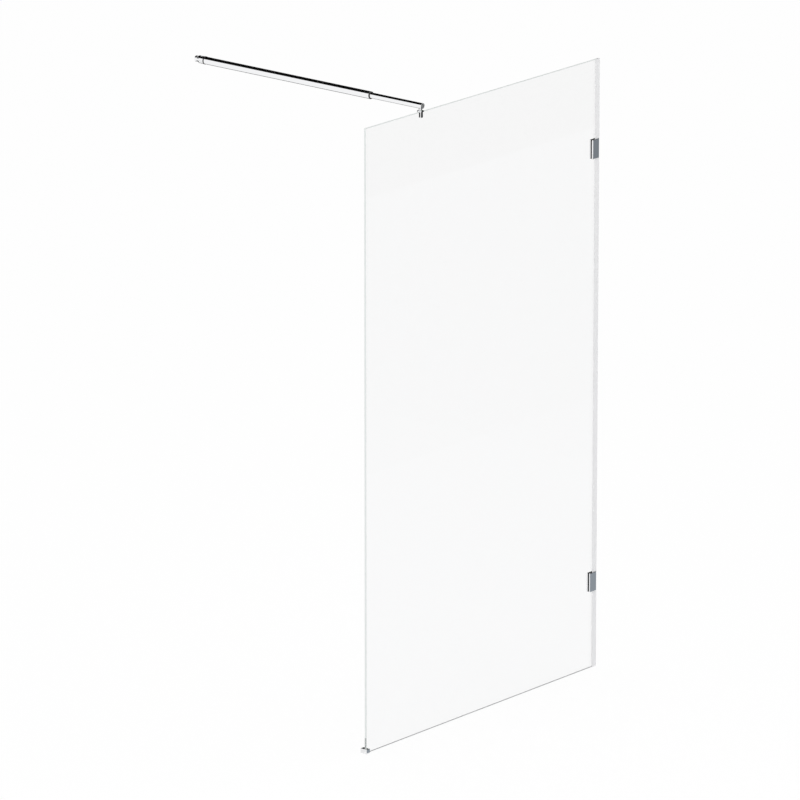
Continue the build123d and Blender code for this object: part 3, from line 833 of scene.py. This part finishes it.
@dataclass
class GlassPanel:
    """The sheet of glass and the short guard on its free edge."""

    workshop: Workshop
    arris: float = 0.6 * MM
    notch_round: float = 5.0 * MM
    notch_slack: float = 0.4 * MM
    flat_face: float = 0.98
    guard_round: float = 0.35 * MM
    guard_groove: float = 0.25 * MM
    guard_rim: float = 0.2 * MM

    def notch(self, side: str, edge: float) -> Outline:
        """Draws the notch behind one bracket.

        Args:
            side: which bracket, upper or lower.
            edge: where the glass ends.

        Returns:
            The notch's points, from its lower to its upper corner on the edge.
        """
        low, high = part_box(f"{side}_bracket_spacer")
        left = low.x - self.notch_slack
        bottom = low.z - self.notch_slack
        top = high.z + self.notch_slack
        inner = rounded([(left, bottom), (left, top), (edge, top), (edge, bottom)], self.notch_round)
        both_inner_corners = len(inner) // 2
        return [(edge, bottom), *inner[:both_inner_corners], (edge, top)]

    def sheet(self) -> None:
        """Builds the sheet, with clear faces and ground edges, which casts no shadow."""
        low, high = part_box("glass_panel")
        corners = [(low.x, low.z), (high.x, low.z)]
        corners += self.notch("lower", high.x) + self.notch("upper", high.x)
        corners += [(high.x, high.z), (low.x, high.z)]
        sheet = extruded("glass_sheet", corners, [], (low.y, high.y), self.arris, upright=True)
        self.workshop.dress_piece(sheet, "clear_glass", "screen", "glass_panel")
        edge_index = len(sheet.data.materials)
        sheet.data.materials.append(self.workshop.materials["ground_edge"])
        for face in sheet.data.polygons:
            if abs(face.normal.y) < self.flat_face:
                face.material_index = edge_index
        sheet.visible_shadow = False

    def build(self) -> None:
        """Builds the sheet and the guard on its free edge."""
        self.sheet()
        low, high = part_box("edge_guard")
        groove = self.guard_groove
        grooved = [(low.x, groove), (low.x + groove, 0.0), (low.x, -groove)]
        outline = [(high.x, high.y), (low.x, high.y), *grooved, (low.x, low.y), (high.x, low.y)]
        outline = rounded(outline, self.guard_round)
        guard = extruded("free_edge_guard", outline, [], (low.z, high.z), self.guard_rim)
        self.workshop.dress_piece(guard, "clear_vinyl", "screen", "edge_guard")


@dataclass
class WallSeal:
    """The vinyl seal between glass and wall, in three lengths."""

    workshop: Workshop
    wall: float = 1.2 * MM
    slack: float = 0.1 * MM
    rear_grip: float = 4.5 * MM
    lip_round: float = 0.5 * MM
    groove_depth: float = 0.35 * MM
    groove_width: float = 1.0 * MM

    def section(
        self, low: Vector, high: Vector, glass_edge: float, glass_half: float
    ) -> tuple[Outline, list[Outline]]:
        """Draws the seal's section: a grip on the glass, and a hollow chamber to the wall.

        Args:
            low: the seal's lowest corner.
            high: its highest corner.
            glass_edge: where the glass ends.
            glass_half: half the glass's thickness, with the seal's slack.

        Returns:
            The outer outline and the chamber's outline.
        """
        waist = glass_edge + self.wall
        rear_edge = glass_edge - self.slack - self.rear_grip
        dip = self.groove_width / 2
        groove = [(waist - dip, low.y), (waist, low.y + self.groove_depth), (waist + dip, low.y)]
        front = [(low.x, -glass_half), (low.x, low.y), *groove, (high.x, low.y)]
        rear = [(x, -y) for x, y in reversed(front[2:])]
        rear += [(rear_edge, high.y), (rear_edge, glass_half)]
        grip = [(glass_edge, glass_half), (glass_edge, -glass_half)]
        inner = low.y + self.wall
        start = waist + self.wall / 2
        chamber = [(start, inner), (high.x - self.wall, inner), (high.x - self.wall, -inner), (start, -inner)]
        return rounded(front + rear + grip, self.lip_round), [rounded(chamber, self.lip_round)]

    def build(self) -> None:
        """Builds the three lengths."""
        glass_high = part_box("glass_panel")[1]
        for place in ("lower", "middle", "upper"):
            low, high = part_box(f"wall_seal_{place}")
            outline, holes = self.section(low, high, glass_high.x + self.slack, glass_high.y + self.slack)
            strip = extruded(f"seal_strip_{place}", outline, holes, (low.z, high.z))
            self.workshop.dress_piece(strip, "frosted_vinyl", "screen", f"wall_seal_{place}")


@dataclass
class WallBracket:
    """One glass-to-wall bracket: plates, gaskets, spacer and screws."""

    workshop: Workshop
    side: str

    def build(self) -> None:
        """Dresses the bracket's pieces."""
        slots = {
            "front_plate": "chrome",
            "front_gasket": "black_rubber",
            "rear_gasket": "black_rubber",
            "body": "chrome",
            "spacer": "white_nylon",
            "clamp_screws": "screw_steel",
        }
        for piece, slot in slots.items():
            self.workshop.dress_node(f"{self.side}_bracket_{piece}", slot)


@dataclass
class FloorFoot:
    """The foot at the free corner."""

    workshop: Workshop

    def build(self) -> None:
        """Dresses the foot's pieces."""
        self.workshop.dress_node("foot_block", "chrome")
        self.workshop.dress_node("foot_liner", "clear_vinyl")
        self.workshop.dress_node("foot_floor_pad", "black_rubber")
        self.workshop.dress_node("foot_grub_screw", "screw_steel")


@dataclass
class SupportArm:
    """The clamp on the glass, the telescopic tubes and the knuckle at the wall."""

    workshop: Workshop
    tube_wall: float = 1.5 * MM
    mouth_round: float = 0.45 * MM
    running_fit: float = 0.05 * MM
    collar_flange: float = 2.0 * MM
    moulded_round: float = 0.3 * MM
    spigot_hole: float = 4.05 * MM
    screw_hole: float = 2.55 * MM
    round_steps: int = 160

    def drill(self, name: str, centre: Vector, radius: float, depth: float) -> Piece:
        """Makes an upright round cutter that reaches down from a point.

        Args:
            name: the cutter's name.
            centre: its upper end.
            radius: its radius.
            depth: how far down it reaches.

        Returns:
            The cutter.
        """
        section = [(0.0, -depth), (radius, -depth), (radius, 0.0), (0.0, 0.0)]
        return turned(name, section, centre, Axis.Z)

    def tube(self, name: str, node: str, body: str, hole: Span) -> None:
        """Builds a tube with rounded mouths and a hole underneath in place of its CAD node.

        Args:
            name: the new piece's name.
            node: the CAD node it stands for.
            body: the body it moves with.
            hole: where the hole underneath is along Y, and its radius.
        """
        low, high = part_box(node)
        centre = line_along_y(low, high)
        radius = half_width(low, high)
        bore = radius - self.tube_wall
        section = [(bore, low.y), (radius, low.y), (radius, high.y), (bore, high.y)]
        piece = turned(name, rounded(section, self.mouth_round), centre, Axis.Y, self.round_steps)
        place, hole_radius = hole
        start = Vector((centre.x, place, centre.z))
        cut_away(piece, [self.drill(f"{name}_hole", start, hole_radius, 2 * radius)])
        self.workshop.dress_piece(piece, "chrome", body, node)

    def collar(self) -> None:
        """Builds the black collar in the mouth of the outer tube."""
        low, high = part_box("telescope_collar")
        centre = line_along_y(low, high)
        outer = half_width(low, high)
        sleeve = outer - self.tube_wall - self.running_fit
        bore = half_width(*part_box("inner_tube")) + self.running_fit
        step = low.y + self.collar_flange
        flange = [(bore, low.y), (outer, low.y), (outer, step)]
        section = rounded(flange + [(sleeve, step), (sleeve, high.y), (bore, high.y)], self.moulded_round)
        piece = turned("collar_moulded", section, centre, Axis.Y, self.round_steps)
        start = Vector((centre.x, middle_y(*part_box("lock_screw")), centre.z))
        cut_away(piece, [self.drill("collar_hole", start, self.screw_hole, 2 * outer)])
        self.workshop.dress_piece(piece, "black_nylon", "arm_outer", "telescope_collar")

    def ring(self) -> None:
        """Builds the black ring between the outer tube and the knuckle."""
        low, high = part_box("knuckle_ring")
        bore = half_width(*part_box("outer_tube")) - self.tube_wall
        outer = half_width(low, high)
        section = [(bore, low.y), (outer, low.y), (outer, high.y), (bore, high.y)]
        section = rounded(section, 2 * self.moulded_round)
        piece = turned("ring_moulded", section, line_along_y(low, high), Axis.Y, self.round_steps)
        self.workshop.dress_piece(piece, "black_nylon", "arm_outer", "knuckle_ring")

    def build(self) -> None:
        """Builds the tubes, collar and ring, and dresses the arm's other pieces."""
        stem_y = middle_y(*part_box("swivel_stem"))
        screw_y = middle_y(*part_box("lock_screw"))
        self.tube("inner_tube_polished", "inner_tube", "arm_inner", (stem_y, self.spigot_hole))
        self.tube("outer_tube_polished", "outer_tube", "arm_outer", (screw_y, self.screw_hole))
        for node in ("glass_clamp", "swivel_stem", "knuckle_fork", "wall_flange"):
            self.workshop.dress_node(node, "chrome")
        self.collar()
        self.ring()
        for node in ("glass_clamp_grub_screw", "pivot_screw", "lock_screw", "knuckle_pin"):
            self.workshop.dress_node(node, "screw_steel")
        for node in ("pivot_washer", "guide_bush"):
            self.workshop.dress_node(node, "white_nylon")
        self.workshop.dress_node("glass_clamp_liner", "black_rubber")
        self.workshop.dress_node("end_plug", "end_plug_metal")


@dataclass(frozen=True)
class Card:
    """How a reflector card looks in the mirror images that show it.

    Args:
        tone: how bright it is, from 0 to 1.
        cool: how far its tone leans to blue.
        in_glass: whether it also shows in a mirror image that is seen through the glass.
        fade_axis: the axis that it fades out along.
        fade: where it is gone and where it is full, along that axis.
    """

    tone: float
    cool: float = 0.0
    in_glass: bool = False
    fade_axis: str = "X"
    fade: Span | None = None


# Each card on the floor: its name, its lowest x and y, its highest x and y, and its look.
FLOOR_CARDS: tuple[tuple[str, Span, Span, Card], ...] = (
    ("near_card_in_front", (-1.0, -2.0), (10.0, -0.006), Card(0.31, cool=0.10)),
    ("far_card_in_front", (-1.0, -4.45), (10.0, -2.0), Card(0.225, cool=0.10)),
    ("dark_card_in_front", (-3.0, -20.0), (10.0, -4.45), Card(0.01, fade_axis="Y", fade=(-20.0, -8.0))),
    ("grey_card_behind", (0.6, 1.3), (3.0, 6.0), Card(0.30)),
    # The pale card behind the glass is a painted shadow: it stands in for the floor's soft shadow near the
    # foot, and shows only in the chrome's reflection.
    ("floor_shadow_card_behind", (-0.6, 0.006), (1.6, 1.3), Card(0.88)),
)


def level_corners(low: Span, high: Span, height: float) -> list[Vector]:
    """Returns the corners of a level rectangle, from its lowest and highest x and y."""
    (x0, y0), (x1, y1) = low, high
    return [Vector((x, y, height)) for x, y in ((x0, y0), (x1, y0), (x1, y1), (x0, y1))]


@dataclass
class Studio:
    """The floor, the reflector cards, the light and the camera."""

    floor_half: float = 45.0
    floor_glow: float = 0.92
    floor_tone: float = 0.98
    soft_low: float = 0.62
    soft_high: float = 1.02
    black: float = 0.004
    cards_left: float = -1.6
    cards_far: float = 3.0
    cards_near: float = -1.4
    cards_back: float = 6.0
    cards_foot: float = 0.003
    cards_top: float = 4.2
    gone_left: float = -4.5
    gone_front: float = -1.5
    full_overhead: float = 1.0
    key_power: float = 60.0
    key_size: float = 3.0
    key_place: Place = (-2.6, -3.2, 4.6)
    key_aim: Place = (0.6, 0.3, 1.0)
    camera_place: Place = (-20.4336, -17.2963, 9.1347)
    camera_azimuth: float = -49.992
    camera_elevation: float = 16.511
    camera_reach: Span = (1.0, 200.0)
    focal_length: float = 391.2
    sensor: float = 36.0

    def seen_directly(self, wiring: Wiring) -> Socket:
        """Tells apart the rays that show the background: camera, glossy and transmission rays.

        Args:
            wiring: the wiring of the tree that asks.

        Returns:
            The socket that gives 1 for those rays and 0 for the others.
        """
        path = wiring.add("ShaderNodeLightPath")
        mirror = wiring.math("MAXIMUM", path.outputs["Is Glossy Ray"], path.outputs["Is Transmission Ray"])
        return wiring.math("MAXIMUM", path.outputs["Is Camera Ray"], mirror)

    def world(self) -> None:
        """Makes a surround that looks white, and lights softly and more strongly from above."""
        world = bpy.data.worlds.new("studio_surround")
        bpy.context.scene.world = world
        world.use_nodes = True
        world.node_tree.nodes.clear()
        wiring = Wiring(world.node_tree)
        seen = self.seen_directly(wiring)
        white = wiring.add("ShaderNodeBackground", {"Color": WHITE, "Strength": 1.0})
        direction = wiring.add("ShaderNodeTexCoord").outputs["Generated"]
        height = wiring.add("ShaderNodeSeparateXYZ", {0: direction}).outputs["Z"]
        levels = {"Value": height, "To Min": self.soft_low, "To Max": self.soft_high}
        level = wiring.add("ShaderNodeMapRange", levels).outputs["Result"]
        soft = wiring.add("ShaderNodeBackground", {"Color": WHITE, "Strength": level})
        mix = wiring.add("ShaderNodeMixShader", {0: seen, 1: soft.outputs[0], 2: white.outputs[0]})
        wiring.add("ShaderNodeOutputWorld", {"Surface": mix.outputs[0]})

    def sheet(self, name: str, corners: list[Vector]) -> Piece:
        """Makes a four-cornered stage sheet.

        Args:
            name: its name.
            corners: its corners in order.

        Returns:
            The sheet.
        """
        mesh = bmesh.new()
        mesh.faces.new([mesh.verts.new(corner) for corner in corners])
        data = bpy.data.meshes.new(name)
        mesh.to_mesh(data)
        mesh.free()
        made = put_in_scene(name, data)
        return made

    def floor(self) -> None:
        """Makes the pale floor, white where it is seen and still able to show a shadow."""
        half, tone = self.floor_half, self.floor_tone
        floor = self.sheet("studio_floor", level_corners((-half, -half), (half, half), 0.0))
        made, wiring = blank_material("floor_white")
        matt = wiring.add("ShaderNodeBsdfDiffuse", {"Color": (tone, tone, tone, 1.0)})
        glow = wiring.add("ShaderNodeEmission", {"Color": WHITE, "Strength": 1.0})
        share = wiring.math("MULTIPLY", self.seen_directly(wiring), self.floor_glow)
        mix = wiring.add("ShaderNodeMixShader", {0: share, 1: matt.outputs[0], 2: glow.outputs[0]})
        wiring.add("ShaderNodeOutputMaterial", {"Surface": mix.outputs[0]})
        floor.data.materials.append(made)

    def card(self, name: str, corners: list[Vector], look: Card) -> None:
        """Hangs a reflector card, which shows only where something mirrors it.

        Args:
            name: its name.
            corners: its corners in order.
            look: its tone and fading.
        """
        card = self.sheet(name, corners)
        card.visible_camera = False
        card.visible_diffuse = False
        card.visible_transmission = look.in_glass
        card.visible_volume_scatter = False
        card.visible_shadow = False
        made, wiring = blank_material(name)
        card.data.materials.append(made)
        colour = (look.tone * (1 - look.cool), look.tone, look.tone * (1 + look.cool), 1)
        glow = wiring.add("ShaderNodeEmission", {"Color": colour, "Strength": 1.0})
        no_bounce_yet = 0.5
        path = wiring.add("ShaderNodeLightPath")
        mirrored = wiring.math("GREATER_THAN", path.outputs["Glossy Depth"], no_bounce_yet)
        if look.fade:
            place = wiring.add("ShaderNodeSeparateXYZ", {0: wiring.object_place()}).outputs[look.fade_axis]
            mirrored = wiring.math("MULTIPLY", mirrored, wiring.remap(place, look.fade, FULL))
        clear = wiring.add("ShaderNodeBsdfTransparent")
        mix = wiring.add("ShaderNodeMixShader", {0: mirrored, 1: clear.outputs[0], 2: glow.outputs[0]})
        wiring.add("ShaderNodeOutputMaterial", {"Surface": mix.outputs[0]})

    def cards(self) -> None:
        """Hangs the black cards, and lays the grey ones, that give the chrome its dark bands."""
        left, far, near, back = self.cards_left, self.cards_far, self.cards_near, self.cards_back
        foot, top, gone = self.cards_foot, self.cards_top, self.gone_left
        corners = [(far, near, foot), (far, back, foot), (far, back, top), (far, near, top)]
        look = Card(self.black, in_glass=True)
        self.card("black_card_wall_side", [Vector(corner) for corner in corners], look)
        corners = [(gone, back, foot), (far, back, foot), (far, back, top), (gone, back, top)]
        look = Card(self.black, in_glass=True, fade_axis="X", fade=(gone, left))
        self.card("black_card_arm_side", [Vector(corner) for corner in corners], look)
        look = Card(self.black, in_glass=True, fade_axis="Y", fade=(self.gone_front, self.full_overhead))
        self.card("black_card_overhead", level_corners((left, self.gone_front), (far, back), top), look)
        for name, low, high, look in FLOOR_CARDS:
            self.card(name, level_corners(low, high, foot), look)

    def light(self) -> None:
        """Hangs one large soft lamp above and in front."""
        lamp = bpy.data.lights.new("soft_key", "AREA")
        lamp.shape = "RECTANGLE"
        lamp.size = self.key_size
        lamp.size_y = self.key_size
        lamp.energy = self.key_power
        holder = put_in_scene("soft_key", lamp)
        holder.location = self.key_place
        aim = Vector(self.key_aim) - holder.location
        holder.rotation_mode = "QUATERNION"
        holder.rotation_quaternion = aim.to_track_quat("-Z", "Y")
        holder.visible_glossy = False

    def camera(self) -> None:
        """Puts the camera where the photograph was taken from."""
        lens = bpy.data.cameras.new("photo_camera")
        lens.sensor_width = self.sensor
        lens.lens = self.focal_length
        lens.clip_start, lens.clip_end = self.camera_reach
        holder = put_in_scene("photo_camera", lens)
        turn, tilt = math.radians(self.camera_azimuth), math.radians(self.camera_elevation)
        ahead = Vector((-math.sin(turn) * math.cos(tilt), math.cos(turn) * math.cos(tilt), -math.sin(tilt)))
        holder.location = self.camera_place
        holder.rotation_mode = "QUATERNION"
        holder.rotation_quaternion = ahead.to_track_quat("-Z", "Y")
        bpy.context.scene.camera = holder

    def build(self) -> None:
        """Sets up the whole studio."""
        bpy.context.scene.view_settings.view_transform = "Standard"
        self.world()
        self.floor()
        self.cards()
        self.light()
        self.camera()
        log.info("studio ready")


def main() -> None:
    """Builds the screen piece by piece, then the studio."""
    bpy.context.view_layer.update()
    workshop = Workshop()
    GlassPanel(workshop).build()
    WallSeal(workshop).build()
    WallBracket(workshop, "upper").build()
    WallBracket(workshop, "lower").build()
    FloorFoot(workshop).build()
    SupportArm(workshop).build()
    Studio().build()


if __name__ == "__main__":
    main()
